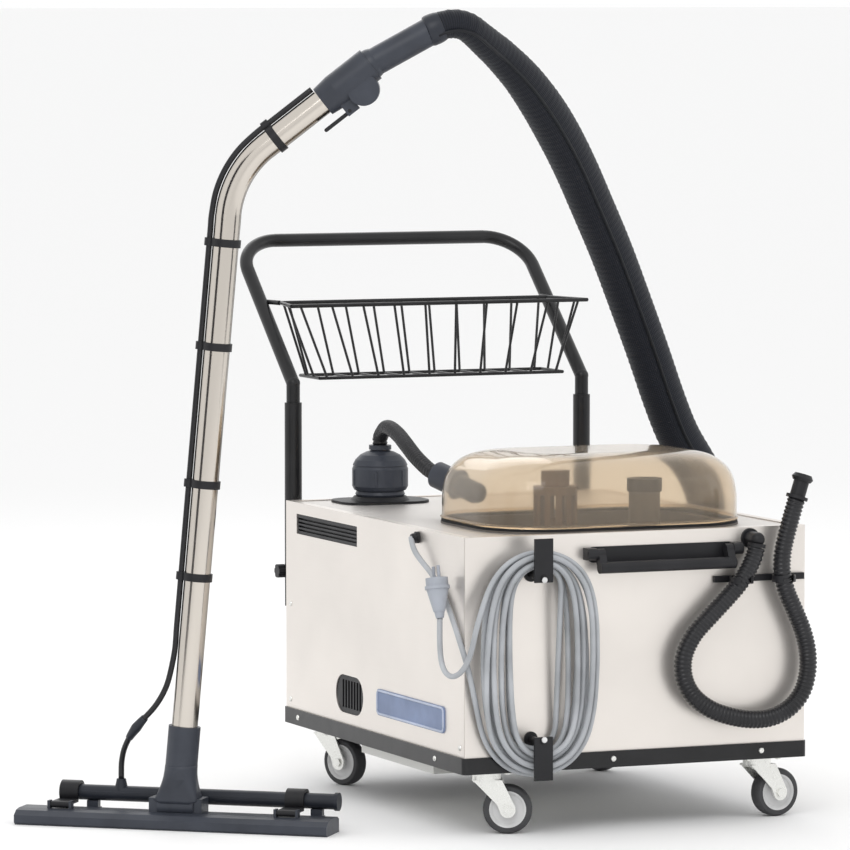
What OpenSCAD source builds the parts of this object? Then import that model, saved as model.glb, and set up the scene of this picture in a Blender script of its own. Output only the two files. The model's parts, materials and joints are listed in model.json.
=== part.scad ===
// Steam cleaner for commercial use: a stainless machine on casters with a clear
// dome over its recovery tank, a push handle, and a wand with a floor tool.
// Millimetres, +Z up. The floor is z = 0 and the machine's front faces -Y.

/* [Body] */
// Width of the machine body
body_w = 570; // [550:5:590]
// Depth of the machine body
body_d = 720; // [700:5:740]
// Height of the top flange above the floor
body_top = 455; // [450:1:470]
// Height of the underside of the base above the floor
floor_gap = 97; // [95:1:100]
// Thickness of the sheet steel
sheet = 1.5; // [1:0.5:2]

/* [Casters] */
// Radius of a caster wheel
wheel_r = 37.5; // [35:0.5:38]
// Distance from the swivel axis to the wheel axle
caster_trail = 32; // [28:1:34]

/* [Dome] */
// Length of the dome across the machine
dome_w = 430; // [400:5:440]
// Depth of the dome
dome_d = 330; // [310:5:330]
// Height of the dome above its seal
dome_h = 107; // [90:1:120]

/* [Push handle] */
// Distance between the handle's two tubes
handle_span = 512; // [500:2:520]
// Outer radius of the handle tube
handle_r = 11; // [10:0.5:12]

/* [Wand] */
// Outer radius of the wand tube
wand_r = 20; // [18:0.5:21]
// Angle of the wand's bend, in degrees
wand_bend = 47; // [40:1:50]

/* [Floor tool] */
// Length of the floor tool
tool_l = 500; // [460:10:520]

/* [Hidden] */

$fn = 48;
slip = 0.3;                         // gap between faces that slide past each other
run = 0.05;                         // radial clearance of a pin in its bore
lap = 2;                            // how far a straight tube runs into a bent one
thin = 0.2;                         // how much thinner a bent tube is than a straight one
eps = 1;                            // how far a cutter runs past the face it cuts

// The origin is the middle of the whole footprint, between the machine and the wand.
machine_at = [248, -124, 0];

half_w = body_w / 2;
half_d = body_d / 2;
base_h = 25;
panel_z = floor_gap + 3;            // the panels stand on the base's floor sheet
deck_z = body_top - sheet - 0.2;    // the deck's upper face, under the top flanges
flange = 14;
front_y = -half_d;

// Recovery tank and dome
dome_at = [3, -180];
dome_corner = 110;
tank_w = 380;
tank_d = 280;
tank_corner = 60;
tank_floor = 262;
rim_z = deck_z + 3;                 // top of the tank's rim
seal_h = 4;
dome_z = rim_z + seal_h;            // the dome's lower edge
dome_wall = 3;
standpipe_at = [52, -275];
cage_at = [-32, -130];

// The dome's inlet points back and up at the canister
port_at = [-150, -26, 505];
port_turn = 116;
port_rise = 17;
port_l = 46;
port_r = 21;

canister_at = [-150, 290];
canister_top = 545;

// Casters: name, position and the way each one trails
caster_x = 228;
caster_y = 312;
caster_w = 26;
front_left = [-caster_x, -caster_y, -24];
front_right = [caster_x, -caster_y, 6];
rear_left = [-caster_x, caster_y, -64];
rear_right = [caster_x, caster_y, -72];

// Push handle, as seen from the side
sleeve_y = 400;
sleeve_r = 14;
sleeve_low = 280;
sleeve_top = 609;
handle_low = 290;
handle_knee = 640;
handle_back = 250;                  // how far the handle leans back
handle_up = 220;                    // how far the leaning part rises
handle_corner = 70;
knob_z = 337;
lean = atan2(handle_back, handle_up);
lean_l = norm([handle_back, handle_up]);

// Cable hooks and the hank that hangs on them
hook_x = -177;
hook_up_z = 396;
hook_low_z = 147;
hook_reach = 46;
hank_gap = 5;
hank_y = front_y - hank_gap;
hank_t = 36;
cable_r = 4.25;

// Front grip
grip_x = [-82, 162];
grip_pivot = [-374, 424];           // y and z of the pivot
grip_drop = 20;

// Drain hose
drain_r = 13;
clip_z = 377;
clip_y = -386;

// Wand: it stands beside the machine, its bend in one upright plane
tool_at = [-635, -69, 0];
wand_turn = -24.3;
tool_turn = -15;
tilt_z = 34;
wand_lean = 5;
wand_low = 84;                      // lower end of the tube, along the wand
wand_straight = 818;
bend_r = 150;
grip_run = 136;
grip_l = 66;
cuff_l = 105;
cuff_droop = 9;                     // the cuff leans over further than the housing
line_r = 4.5;

// Routes of the hoses and the mains lead, in the machine's own frame
main_route = [
    [328, 60, 430], [327, 60, 446], [320, 61, 476], [304, 63, 512], [273, 66, 564], [247, 64, 621],
    [213, 56, 702], [173, 38, 783], [126, 8, 865], [74, -30, 941], [34, -60, 997], [-7, -90, 1048],
    [-52, -122, 1096], [-99, -152, 1139], [-147, -180, 1174], [-171, -196, 1188], [-194, -212, 1201],
    [-217, -227, 1214], [-231, -233, 1220], [-248, -235, 1223], [-265, -234, 1221], [-278, -230, 1215.5]
];
bridge_route = [
    [-171, 17, 520], [-177, 35, 527], [-182, 70, 543], [-180, 110, 558], [-174, 155, 570],
    [-166, 205, 577], [-158, 245, 576], [-152, 274, 567], [-150, 290, 556], [-150, 290, 545.3]
];
drain_route = [
    [188, -388, 426], [184, -388, 412], [174, -388, 392], [158, -388, 370], [136, -387, 347],
    [110, -386, 322], [84, -385, 295], [68, -385, 264], [68, -385, 232], [82, -386, 204],
    [108, -388, 183], [140, -390, 170], [176, -391, 163], [212, -391, 164], [244, -390, 177],
    [266, -389, 200], [276, -388, 230], [276, -388, 262], [268, -388, 294], [254, -388, 326],
    [240, -388, 356], [232, -388, 386], [233, -388, 416], [240, -388, 446], [249, -388, 476],
    [256, -388, 498]
];
lead_route = [
    [-297, -183, 441], [-301, -187, 436], [-301, -199, 424], [-297, -218, 410], [-292, -242, 396],
    [-290, -268, 380], [-290, -294, 361], [-290, -318, 338], [-290, -340, 314], [-290, -356, 294],
    [-288, -368, 275], [-284, -373, 256]
];
tail_route = [
    [-284, -394, 312], [-287, -394, 290], [-293, -389, 268], [-299, -378, 251], [-305, -362, 243],
    [-309, -345, 245], [-311, -333, 257], [-311, -327, 276], [-311, -325, 298], [-311, -325.5, 318],
    [-311, -326, 332]
];

// Inside, for working the machine
boiler_at = [70, 185, 215];
boiler_r = 78;
boiler_l = 330;

// ---------- helpers ----------

function unit(v) = v / norm(v);
function heading(p, i) = unit(p[min(i + 1, len(p) - 1)] - p[max(i - 1, 0)]);
function side_of(t, n) = unit(n - (n * t) * t);
function rings(p, n, i = 0) = i == len(p) ? [] :
    let (m = side_of(heading(p, i), n)) concat([[heading(p, i), m]], rings(p, m, i + 1));

// A round tube swept along the points of a route; its radius may change from end to end
module sweep(p, r, sides = 10, r_end = 0) {
    f = rings(p, [0.13, 0.31, 0.94]);
    grow = r_end == 0 ? 0 : (r_end - r) / (len(p) - 1);
    skin = [for (i = [0 : len(p) - 1]) for (k = [0 : sides - 1])
        let (a = 360 * k / sides, t = f[i][0], m = f[i][1])
        p[i] + (r + grow * i) * (cos(a) * m + sin(a) * cross(t, m))];
    last = (len(p) - 1) * sides;
    low_cap = [for (k = [0 : sides - 1]) k];
    high_cap = [for (k = [sides - 1 : -1 : 0]) last + k];
    walls = [for (i = [0 : len(p) - 2]) for (k = [0 : sides - 1])
        let (a = i * sides + k, b = i * sides + (k + 1) % sides)
        each [[a, b + sides, b], [a, a + sides, b + sides]]];
    polyhedron(skin, concat([low_cap, high_cap], walls));
}

// A rectangle with round corners, its middle at the origin
module soft_rect(w, d, r) {
    for (x = [-1, 1]) translate([x * (w / 2 - r), 0]) {
        for (y = [-1, 1]) translate([0, y * (d / 2 - r)]) circle(r);
    }
    square([w - 2 * r, d], center = true);
    square([w, d - 2 * r], center = true);
}

module box(x, y, z) translate([x[0], y[0], z[0]]) cube([x[1] - x[0], y[1] - y[0], z[1] - z[0]]);

module on_machine() translate(machine_at) children();
module at_wand() translate(tool_at + machine_at) rotate([0, 0, wand_turn]) children();
module at_tool() at_wand() rotate([0, 0, tool_turn]) children();

// A frame that follows the wand: +Z runs up the tube from the tilt axis
module along_wand() at_wand() translate([0, 0, tilt_z]) rotate([0, wand_lean, 0]) children();
module after_bend() along_wand() translate([0, 0, wand_low + wand_straight]) translate([bend_r, 0, 0])
    rotate([0, wand_bend, 0]) translate([-bend_r, 0, 0]) children();

module slot_shape(l, h) {
    square([l - h, h], center = true);
    for (x = [-1, 1]) translate([x * (l - h) / 2, 0]) circle(h / 2);
}

// ---------- casing ----------

module base_frame() {
    rim = 3.4;
    color("#2e2c2e") difference() {
        translate([0, 0, floor_gap]) linear_extrude(base_h) soft_rect(body_w + 2 * rim, body_d + 2 * rim, 8);
        translate([0, 0, panel_z]) linear_extrude(base_h) soft_rect(body_w + 0.4, body_d + 0.4, 1);
    }
}

module bottom_pan() {
    color("#c9c6bd") difference() {
        box([-278, 200], [-225, 60], [82, floor_gap]);
        box([-276, 198], [-223, 58], [84, floor_gap + eps]);
    }
}

// A side panel lies in the YZ plane with its outer face at x = 0, and folds over at the top
module side_sheet() {
    box([0, sheet], [2 - half_d, half_d - 2], [panel_z, body_top]);
    box([0, flange], [2 - half_d, half_d - 2], [body_top - sheet, body_top]);
}

vent_y = [62, 314];
vent_z = [405, 437];
exhaust_at = [93, 169];
exhaust_l = 112;
exhaust_h = 60;
badge_y = [-286, -22];
badge_z = [151, 192];

module exhaust_hole(grow) translate([-half_w - eps, exhaust_at[0], exhaust_at[1]])
    rotate([90, 0, 90]) linear_extrude(2 * eps + sheet) slot_shape(exhaust_l + grow, exhaust_h + grow);

module left_panel() {
    color("#dcd6cf") difference() {
        translate([-half_w, 0, 0]) side_sheet();
        box([-half_w - eps, sheet + eps - half_w], vent_y, vent_z);
        exhaust_hole(0);
    }
}

module right_panel() {
    color("#dcd6cf") difference() {
        translate([half_w, 0, 0]) mirror([1, 0, 0]) side_sheet();
        translate([half_w - 2 * eps - sheet, 60, 385]) rotate([0, 90, 0]) cylinder(r = 20, h = 6);
    }
}

// A front or rear panel, with folded edges that reach behind the side panels
module end_sheet(lip) {
    box([-half_w + 0.3, half_w - 0.3], [-half_d, sheet - half_d], [panel_z, body_top]);
    box([-half_w + flange + 1, half_w - flange - 1], [-half_d, flange - half_d], [body_top - sheet, body_top]);
    for (x = [-1, 1]) translate([x * (half_w - 2.5), 0, 0])
        box([-0.75, 0.75], [sheet - half_d, lip - half_d], [panel_z, body_top - 2 * sheet - 0.4]);
}

module front_panel() color("#e4dfd8") end_sheet(16);
module rear_panel() color("#dcd6cf") mirror([0, 1, 0]) end_sheet(16);

module deck() {
    color("#b9b4ab") difference() {
        box([3.6 - half_w, half_w - 3.6], [1.8 - half_d, half_d - 1.8], [deck_z - sheet, deck_z]);
        translate([dome_at[0], dome_at[1], deck_z - 2 * sheet])
            linear_extrude(10) soft_rect(tank_w + 1, tank_d + 1, tank_corner);
        translate([canister_at[0], canister_at[1], deck_z - 5]) cylinder(r = 26, h = 10);
    }
}

// Two grilles in the left panel: a louvred vent and an oval exhaust
module side_grilles() {
    color("#1c1a1a") {
        difference() {
            translate([-half_w + sheet + 0.2, 0, 0])
                box([0, 8], [vent_y[0] - 6, vent_y[1] + 6], [vent_z[0] - 6, vent_z[1] + 6]);
            for (z = [vent_z[0] + 5 : 6 : vent_z[1] - 4])
                translate([-half_w, 0, 0]) box([0, 7], [vent_y[0] + 4, vent_y[1] - 4], [z, z + 3]);
        }
        difference() {
            translate([-half_w + sheet + 0.2, exhaust_at[0], exhaust_at[1]]) rotate([90, 0, 90])
                linear_extrude(8) slot_shape(exhaust_l + 10, exhaust_h + 10);
            for (y = [-40 : 11.5 : 40]) translate([-half_w, exhaust_at[0] + y, exhaust_at[1]])
                box([0, 7], [-3.5, 3.5], [-22, 22]);
        }
    }
}

module badge_plate() {
    color("#8f9cc0") translate([-half_w - 2, 0, 0]) {
        translate([0, (badge_y[0] + badge_y[1]) / 2, (badge_z[0] + badge_z[1]) / 2]) rotate([90, 0, 90])
            linear_extrude(2) soft_rect(badge_y[1] - badge_y[0], badge_z[1] - badge_z[0], 8);
    }
}

// ---------- tank and dome ----------

module recovery_tank() {
    color("#4b4a4e") translate([dome_at[0], dome_at[1], 0]) difference() {
        union() {
            translate([0, 0, tank_floor]) linear_extrude(deck_z - tank_floor)
                soft_rect(tank_w, tank_d, tank_corner);
            translate([0, 0, deck_z]) linear_extrude(3) soft_rect(dome_w + 4, dome_d - 6, dome_corner - 2);
        }
        translate([0, 0, tank_floor + 3]) linear_extrude(300)
            soft_rect(tank_w - 6, tank_d - 6, tank_corner - 3);
    }
}

module tank_seal() {
    color("#242228") translate([dome_at[0], dome_at[1], rim_z]) linear_extrude(seal_h) difference() {
        soft_rect(dome_w + 2, dome_d - 8, dome_corner - 3);
        soft_rect(dome_w - 26, dome_d - 34, dome_corner - 14);
    }
}

// The dome's outer form less a margin: upright walls that turn over into a crowned top
dome_profile = [[0, 0], [0.40, 1], [0.62, 6], [0.78, 16], [0.90, 32], [0.97, 54], [1, 84]];
module dome_form(margin) {
    hull() for (s = dome_profile) translate([0, 0, s[0] * (dome_h - margin)]) linear_extrude(0.2)
        soft_rect(dome_w - 2 * (s[1] + margin), dome_d - 8 - 2 * (s[1] + margin),
            max(12, dome_corner - 4 - 0.7 * (s[1] + margin)), $fn = 40);
}

module along_port() translate(port_at) rotate([0, 0, port_turn]) rotate([0, 90 - port_rise, 0]) children();

module dome() {
    color("#c9a878", 0.5) difference() {
        translate([dome_at[0], dome_at[1], dome_z]) dome_form(0);
        translate([dome_at[0], dome_at[1], dome_z - 0.3]) dome_form(dome_wall);
        along_port() translate([0, 0, -40]) cylinder(r = port_r - 4 + 0.4, h = 60);
    }
}

// The inlet in the dome's wall: a collar outside, and an elbow that turns down inside
module dome_port() {
    color("#4a4c55") {
        along_port() translate([0, 0, 7]) cylinder(r = port_r, h = port_l - 7);
        along_port() translate([0, 0, 1]) cylinder(r1 = port_r + 4, r2 = port_r, h = 6.5);
        along_port() translate([0, 0, -34]) cylinder(r = port_r - 4, h = 42);
        along_port() translate([0, 0, -34]) sphere(port_r - 4);
    }
}

module standpipe() {
    color("#8d8478") translate([standpipe_at[0], standpipe_at[1], 0]) difference() {
        translate([0, 0, tank_floor + 3]) cylinder(r = 24, h = 510 - tank_floor - 3);
        translate([0, 0, tank_floor + 3 - eps]) cylinder(r = 21, h = 300);
        for (a = [0, 90]) rotate([0, 0, a]) translate([0, 0, tank_floor + 12])
            rotate([90, 0, 0]) cylinder(r = 6, h = 60, center = true);
    }
}

module standpipe_cap() {
    color("#3b4042") translate([standpipe_at[0], standpipe_at[1], 0]) difference() {
        translate([0, 0, 508]) cylinder(r = 27, h = 20);
        translate([0, 0, 507]) cylinder(r = 24.2, h = 3.2);
    }
}

module float_cage() {
    color("#6b5a48") translate([cage_at[0], cage_at[1], 0]) {
        difference() {
            translate([0, 0, 420]) cylinder(r = 34, h = 88);
            translate([0, 0, 423]) cylinder(r = 31, h = 82);
            for (a = [0 : 30 : 150]) rotate([0, 0, a]) box([-60, 60], [-4, 4], [430, 495]);
        }
        translate([0, 0, 440]) sphere(18);
        translate([0, 0, 422]) cylinder(r = 4, h = 6);
        translate([0, 0, tank_floor + 3]) cylinder(r = 12, h = 420 - tank_floor - 3.2);
        translate([0, 0, 508]) cylinder(r = 22, h = 26);
    }
}

// ---------- canister ----------

module canister_base() {
    color("#2b2c31") translate([canister_at[0], canister_at[1], 0]) {
        translate([0, 0, deck_z]) linear_extrude(4) soft_rect(150, 112, 40);
        translate([0, 0, deck_z + 3.9]) cylinder(r1 = 48, r2 = 42, h = 6.1);
        translate([0, 0, deck_z - 20]) cylinder(r = 25, h = 21);
    }
}

module canister() {
    low = deck_z + 10 + slip;
    color("#474a53") translate([canister_at[0], canister_at[1], 0]) {
        rotate_extrude() polygon([[0, low], [38, low], [40, low + 3], [38, low + 8], [42, low + 10], [45, low + 16],
            [45, low + 44], [43, low + 48], [44, low + 50], [40, low + 58], [32, low + 66], [22, low + 71],
            [15, low + 73], [15, canister_top - 8], [18, canister_top - 7], [18, canister_top], [0, canister_top]]);
        for (a = [0 : 60 : 300]) rotate([0, 0, a]) translate([44.2, 0, low + 18]) cylinder(r = 2.5, h = 24);
    }
}

module bridge_hose() color("#242328") sweep(bridge_route, 11, 12);

// ---------- mains lead ----------

module mains_gland() {
    color("#2b2c31") translate([-half_w, -183, 441]) rotate([0, -90, 0]) {
        cylinder(r = 9, h = 5);
        cylinder(r = 6.5, h = 10);
        translate([0, 0, 3]) cylinder(r1 = 8, r2 = 5.5, h = 9);
    }
}

module mains_lead() color("#8d8f99") {
    sweep(lead_route, cable_r, 8);
    sweep(tail_route, cable_r, 8);
}

// Outer shape of the wound cable: a tall loop, wide at the bottom, open in the middle
module loop_shape(w, low, high) {
    hull() {
        translate([0, high - w]) circle(w);
        translate([0, low + w]) circle(w);
    }
}

module mains_hank() {
    color("#a9adb9") translate([hook_x + 4, hank_y, 0]) rotate([90, 0, 0]) linear_extrude(hank_t) difference() {
        loop_shape(108, 84, 440);
        loop_shape(32, 138, 405);
    }
}

module mains_plug() {
    color("#a3a8b3") translate([-311, -325, 338]) rotate([-12, 0, 0]) {
        translate([0, 0, -6]) cylinder(r1 = 6, r2 = 8, h = 10);
        translate([0, 0, 4]) cylinder(r1 = 9, r2 = 17, h = 34);
        translate([0, 0, 38]) cylinder(r = 19, h = 5);
        translate([0, 0, 43]) cylinder(r = 17, h = 12);
        for (y = [-9.5, 9.5]) translate([0, y, 54]) cylinder(r = 2.4, h = 19);
    }
}

// A hook: a foot on the panel, a stem through the hank and a tongue across its front
module cable_hook(up) {
    s = up ? 1 : -1;
    translate([hook_x, front_y, up ? hook_up_z : hook_low_z]) mirror([0, 0, up ? 0 : 1]) {
        rotate([90, 0, 0]) cylinder(r = 11, h = 3);
        rotate([90, 0, 0]) cylinder(r = 5, h = hook_reach + 1);
        box([-15, 15], [-hook_reach - 4, -hook_reach], [-8, 58]);
        translate([0, -hook_reach - 4, -2]) rotate([90, 0, 0]) cylinder(r = 5, h = 2.5);
    }
}

module upper_cable_hook() color("#1d1c1e") cable_hook(true);
module lower_cable_hook() color("#1d1c1e") cable_hook(false);

// ---------- front grip ----------

module grip_plate() {
    mid = (grip_x[0] + grip_x[1]) / 2;
    color("#19181a") difference() {
        union() {
            translate([mid, front_y, 422]) rotate([90, 0, 0]) linear_extrude(2.5) slot_shape(250, 24);
            for (x = grip_x) translate([x, 0, 0]) {
                box([-8, 8], [grip_pivot[0], front_y], [grip_pivot[1] - 9, grip_pivot[1] + 9]);
                translate([-8, grip_pivot[0], grip_pivot[1]]) rotate([0, 90, 0]) cylinder(r = 9, h = 16);
            }
        }
        for (x = grip_x) translate([x - 10, grip_pivot[0], grip_pivot[1]])
            rotate([0, 90, 0]) cylinder(r = 4 + run, h = 20);
    }
}

module front_grip() {
    inner = [grip_x[0] + 8 + slip, grip_x[1] - 8 - slip];
    color("#19181a") {
        for (k = [0, 1]) {
            x0 = k == 0 ? grip_x[0] - 8.5 : inner[1] - 0.5;
            translate([x0, grip_pivot[0], grip_pivot[1]]) rotate([0, 90, 0]) cylinder(r = 4, h = 17.3);
            arm = k == 0 ? [inner[0], inner[0] + 12] : [inner[1] - 12, inner[1]];
            translate([arm[0], grip_pivot[0], grip_pivot[1]]) rotate([0, 90, 0]) cylinder(r = 8, h = 12);
            translate([arm[0], grip_pivot[0] - 10, grip_pivot[1] - grip_drop])
                rotate([0, 90, 0]) cylinder(r = 9, h = 12);
            translate([arm[0], grip_pivot[0], grip_pivot[1]]) rotate([180 - atan2(10, grip_drop), 0, 0])
                translate([0, -7, 0]) cube([12, 14, norm([10, grip_drop])]);
        }
        translate([inner[0] + 1, grip_pivot[0] - 10, grip_pivot[1] - grip_drop])
            rotate([0, 90, 0]) cylinder(r = 9, h = inner[1] - inner[0] - 2);
    }
}

// ---------- drain hose ----------

module drain_port() {
    color("#1d1c1e") {
        translate([190, front_y, 438]) rotate([90, 0, 0]) cylinder(r = 15, h = 4);
        translate([190, front_y, 438]) rotate([90, 0, 0]) cylinder(r = 11, h = 28);
        translate([190, -388, 438]) sphere(11);
        translate([188, -388, 426]) rotate([0, 9.46, 0]) cylinder(r = 11, h = 12.2);
        translate([188, -388, 426]) rotate([0, 9.46, 0]) cylinder(r = 14, h = 6);
    }
}

module drain_hose() color("#3a383c") sweep(drain_route, drain_r, 12);

module drain_cap() {
    a = atan2(7, 22);
    color("#1a191b") translate([256, -388, 498]) rotate([0, a, 0]) {
        cylinder(r = 17, h = 5);
        translate([0, 0, 4.9]) cylinder(r = 12, h = 24);
        translate([0, 0, 28]) cylinder(r1 = 14, r2 = 17, h = 5);
        translate([0, 0, 33]) cylinder(r1 = 17, r2 = 13, h = 6);
    }
}

// A bar on the panel with two open clips that hold the hose
clip_x = [163, 235];
clip_r = drain_r + 0.4;
module hose_clip() {
    color("#201f21") {
        box([128, 281], [front_y - 6, front_y], [clip_z - 5, clip_z + 5]);
        for (x = clip_x) translate([x, clip_y - 2, clip_z - 5]) difference() {
            union() {
                cylinder(r = clip_r + 5, h = 10);
                box([-8, 8], [clip_r - 1, -(clip_y - 2) + front_y - 5.9], [0, 10]);
            }
            translate([0, 0, -eps]) cylinder(r = clip_r + 2.6, h = 20);
            box([-9, 9], [-40, -6], [-eps, 20]);
        }
    }
}

// ---------- push handle and basket ----------

module handle_sleeves() {
    color("#161517") for (s = [-1, 1]) translate([s * handle_span / 2, 0, 0]) difference() {
        union() {
            translate([0, sleeve_y, sleeve_low]) cylinder(r = sleeve_r, h = sleeve_top - sleeve_low);
            for (z = [310, 420]) {
                box([-12, 12], [half_d, sleeve_y], [z - 12, z + 12]);
                box([-24, 24], [half_d, half_d + 4], [z - 18, z + 18]);
            }
        }
        translate([0, sleeve_y, sleeve_low - eps]) cylinder(r = handle_r + run, h = 400);
        if (s < 0) translate([-30, sleeve_y, knob_z]) rotate([0, 90, 0]) cylinder(r = 3 + run, h = 30);
    }
}

// One side of the handle: up through the sleeve, then back over the knee
module handle_side(s) {
    side_l = lean_l - handle_corner;
    translate([s * handle_span / 2, sleeve_y, 0]) {
        translate([0, 0, handle_low]) cylinder(r = handle_r, h = handle_knee - handle_low);
        translate([0, 0, handle_knee]) sphere(handle_r + 2 * thin);
        translate([0, 0, handle_knee]) rotate([-lean, 0, 0]) cylinder(r = handle_r, h = side_l + lap);
    }
}

module push_handle() {
    flat = handle_span / 2 - handle_corner;
    color("#161517") {
        handle_side(-1);
        handle_side(1);
        translate([0, sleeve_y, handle_knee]) rotate([-lean, 0, 0]) translate([0, 0, lean_l - handle_corner]) {
            for (s = [0, 1]) mirror([s, 0, 0]) translate([flat, 0, 0]) rotate([90, 0, 0])
                rotate_extrude(angle = 90) translate([handle_corner, 0]) circle(handle_r - thin);
            translate([-flat - lap, 0, handle_corner]) rotate([0, 90, 0])
                cylinder(r = handle_r, h = 2 * (flat + lap));
        }
    }
}

module clamp_knob() {
    color("#161517") translate([-handle_span / 2, sleeve_y, knob_z]) rotate([0, -90, 0]) {
        translate([0, 0, handle_r + 0.5]) cylinder(r = 3, h = 10);
        difference() {
            translate([0, 0, sleeve_r + 1]) cylinder(r = 11, h = 14);
            for (a = [0 : 60 : 300]) rotate([0, 0, a]) translate([13, 0, sleeve_r]) cylinder(r = 3.5, h = 20);
        }
    }
}

// Basket: a wide rim over a smaller floor, open at the top, held by two brackets
rim = [[-264, 390], [264, 390], [240, 502], [-240, 502]];
floor_rim = [[-217, 384], [217, 384], [217, 472], [-217, 472]];
rim_top = 768;
rim_low = 645;
basket_wall = 4;

function inset(ps, m) = [for (p = ps) [p[0] - sign(p[0]) * m, p[1] + (p[1] < 440 ? m : -m)]];

module tapered(m, low) hull() {
    translate([0, 0, low]) linear_extrude(0.5) polygon(inset(floor_rim, m));
    translate([0, 0, rim_top]) linear_extrude(0.5) polygon(inset(rim, m));
}

module basket() {
    color("#1a191b") difference() {
        tapered(0, rim_low);
        tapered(basket_wall, rim_low + basket_wall);
        translate([0, 0, rim_top]) linear_extrude(2) polygon(inset(rim, basket_wall));
    }
    color("#1a191b") for (s = [0, 1]) mirror([s, 0, 0]) box([236, 248], [499, 552], [rim_top - 8, rim_top]);
}

// ---------- casters ----------

module at_caster(c) translate([c[0], c[1], 0]) rotate([0, 0, c[2]]) children();

module caster_plates() {
    color("#b8b6b2") for (c = [front_left, front_right, rear_left, rear_right]) translate([c[0], c[1], 0]) {
        box([-34, 34], [-28, 28], [floor_gap - 3, floor_gap]);
        translate([0, 0, 76]) cylinder(r = 5, h = floor_gap - 77);
        translate([0, 0, 74.5]) cylinder(r = 8, h = 5);
        for (x = [-26, 26]) for (y = [-20, 20]) translate([x, y, floor_gap - 6])
            cylinder(r = 5, h = 4, $fn = 6);
    }
}

module caster_fork(c) {
    crown = 80;
    cheek = caster_w / 2 + 2;
    color("#d2d0cb") at_caster(c) {
        difference() {
            union() {
                translate([0, 0, crown]) cylinder(r = 22, h = floor_gap - 3 - slip - crown);
                box([-20, 24], [-cheek - 3, cheek + 3], [crown, crown + 3]);
            }
            translate([0, 0, crown - eps]) cylinder(r = 5 + run, h = 20);
        }
        for (s = [-1, 1]) translate([0, s * (cheek + 1.5) + 1.5, 0]) rotate([90, 0, 0]) linear_extrude(3) {
            polygon([[-20, crown + 2], [24, crown + 2], [caster_trail + 12, wheel_r + 4],
                [caster_trail + 9, wheel_r - 8], [caster_trail - 9, wheel_r - 8], [caster_trail - 16, wheel_r + 8]]);
            translate([caster_trail, wheel_r]) circle(12);
        }
        translate([caster_trail, 0, wheel_r]) rotate([90, 0, 0]) {
            cylinder(r = 4, h = 2 * cheek + 6, center = true);
            for (s = [-1, 1]) translate([0, 0, s * (cheek + 4.5)]) cylinder(r = 7, h = 3.4, center = true, $fn = 6);
        }
    }
}

module caster_wheel(c) {
    w = caster_w / 2;
    color("#3c3b3d") at_caster(c) translate([caster_trail, 0, wheel_r]) rotate([90, 0, 0]) rotate_extrude()
        polygon([[4 + run, -w - 1], [10, -w - 1], [10, -w + 6], [27, -w + 6], [29, -w + 1], [wheel_r - 2, -w + 1],
            [wheel_r, -w + 5], [wheel_r, w - 5], [wheel_r - 2, w - 1], [29, w - 1], [27, w - 6], [10, w - 6],
            [10, w + 1], [4 + run, w + 1]]);
}

// ---------- inside the casing ----------

module boiler() {
    color("#a58f6c") translate(boiler_at) {
        rotate([0, 90, 0]) cylinder(r = boiler_r, h = boiler_l, center = true);
        for (s = [-1, 1]) translate([s * boiler_l / 2, 0, 0]) rotate([0, s * 90, 0])
            cylinder(r1 = boiler_r, r2 = boiler_r - 30, h = 18);
        translate([60, 0, boiler_r - 3]) cylinder(r = 9, h = 40);
        translate([0, 0, boiler_r - 3]) cylinder(r = 14, h = 26);
        for (x = [-100, 100]) box([x - 10, x + 10], [-50, 50], [panel_z - boiler_at[2], -55]);
    }
}

module water_pump() {
    color("#3f4754") {
        box([-215, -105], [20, 90], [panel_z, panel_z + 12]);
        translate([-205, 55, panel_z + 42]) rotate([0, 90, 0]) cylinder(r = 28, h = 60);
        translate([-146, 55, panel_z + 42]) rotate([0, 90, 0]) cylinder(r = 16, h = 36);
        box([-200, -150], [35, 75], [panel_z + 11, panel_z + 30]);
    }
}

module water_tank() {
    color("#d8dcda") difference() {
        box([-200, 200], [-340, -60], [panel_z, 240]);
        box([-197, 197], [-337, -63], [panel_z + 3, 237]);
        translate([-170, -90, 230]) cylinder(r = 15, h = 20);
    }
}

module vacuum_motor() {
    color("#6d6f75") translate([canister_at[0], canister_at[1] - 8, 0]) {
        translate([0, 0, panel_z]) cylinder(r = 50, h = 90);
        translate([0, 0, panel_z + 89]) cylinder(r = 42, h = 110);
        translate([0, 0, panel_z + 198]) cylinder(r = 56, h = 60);
        translate([0, 8, panel_z + 257]) cylinder(r = 22, h = deck_z - 20 - panel_z - 257);
    }
}

// Elbow on the right panel that the main hose stands in
module suction_elbow() {
    color("#3c3e46") {
        translate([half_w, 60, 385]) rotate([0, 90, 0]) cylinder(r = 38, h = 4);
        translate([half_w, 60, 385]) rotate([0, 90, 0]) cylinder(r = 27, h = 43);
        translate([328, 60, 385]) sphere(27);
        translate([328, 60, 385]) cylinder(r = 27, h = 45);
        translate([328, 60, 410]) cylinder(r = 32, h = 20);
    }
}

module main_hose() color("#2b2d36") sweep(main_route, 30, 12, 21.5);

// ---------- wand ----------

wand_wall = 1.5;

// The wand's line, solid: two straight stretches and the bend between them
module wand_bar(r, r_bend, over) {
    along_wand() translate([0, 0, wand_low - over]) cylinder(r = r, h = wand_straight + lap + over);
    along_wand() translate([bend_r, 0, wand_low + wand_straight]) rotate([90, 0, 180])
        rotate_extrude(angle = wand_bend) translate([bend_r, 0]) circle(r_bend);
    after_bend() translate([0, 0, -lap]) cylinder(r = r, h = grip_run + lap + over);
}

module wand_tube() color("#c4bdb4") difference() {
    wand_bar(wand_r, wand_r - thin, 0);
    wand_bar(wand_r - wand_wall - thin, wand_r - wand_wall, eps);
}

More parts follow.
